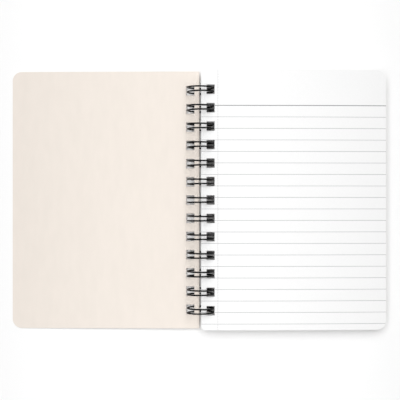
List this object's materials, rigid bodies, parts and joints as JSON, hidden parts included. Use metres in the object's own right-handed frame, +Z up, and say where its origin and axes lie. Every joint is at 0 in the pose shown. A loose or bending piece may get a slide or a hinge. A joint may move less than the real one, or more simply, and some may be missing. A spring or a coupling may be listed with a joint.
{
  "type": "open spiral notebook",
  "caption": "Wire-bound ruled notebook lying open at its first page: card covers and a block of sheets that turn on a black twin-loop wire comb.",
  "frame": {"origin": "on the table, below the middle of the wire comb's axis", "axes": "+X across the spread from the open front cover to the sheets, +Y along the wire towards the head of the page, +Z up off the table"},
  "size_m": [0.2615, 0.1792, 0.019],
  "materials": {
    "coated_wire": "gloss",
    "cream_card": "matte",
    "white_paper": "matte"
  },
  "bodies": {
    "binding": {"wire_binding": "coated_wire", "back_cover": "cream_card"},
    "cover": {"front_cover": "cream_card"},
    "pages": {"page_block": "white_paper"}
  },
  "joints": [
    {"name": "cover_hinge", "type": "hinge", "parent": "binding", "child": "cover", "pos_m": [0, 0, 0.00956], "axis": [0, 1, 0], "range_deg": [0, 184.1]},
    {"name": "page_hinge", "type": "hinge", "parent": "binding", "child": "pages", "pos_m": [0, 0, 0.00956], "axis": [0, 1, 0], "range_deg": [-184.1, 0]}
  ]
}
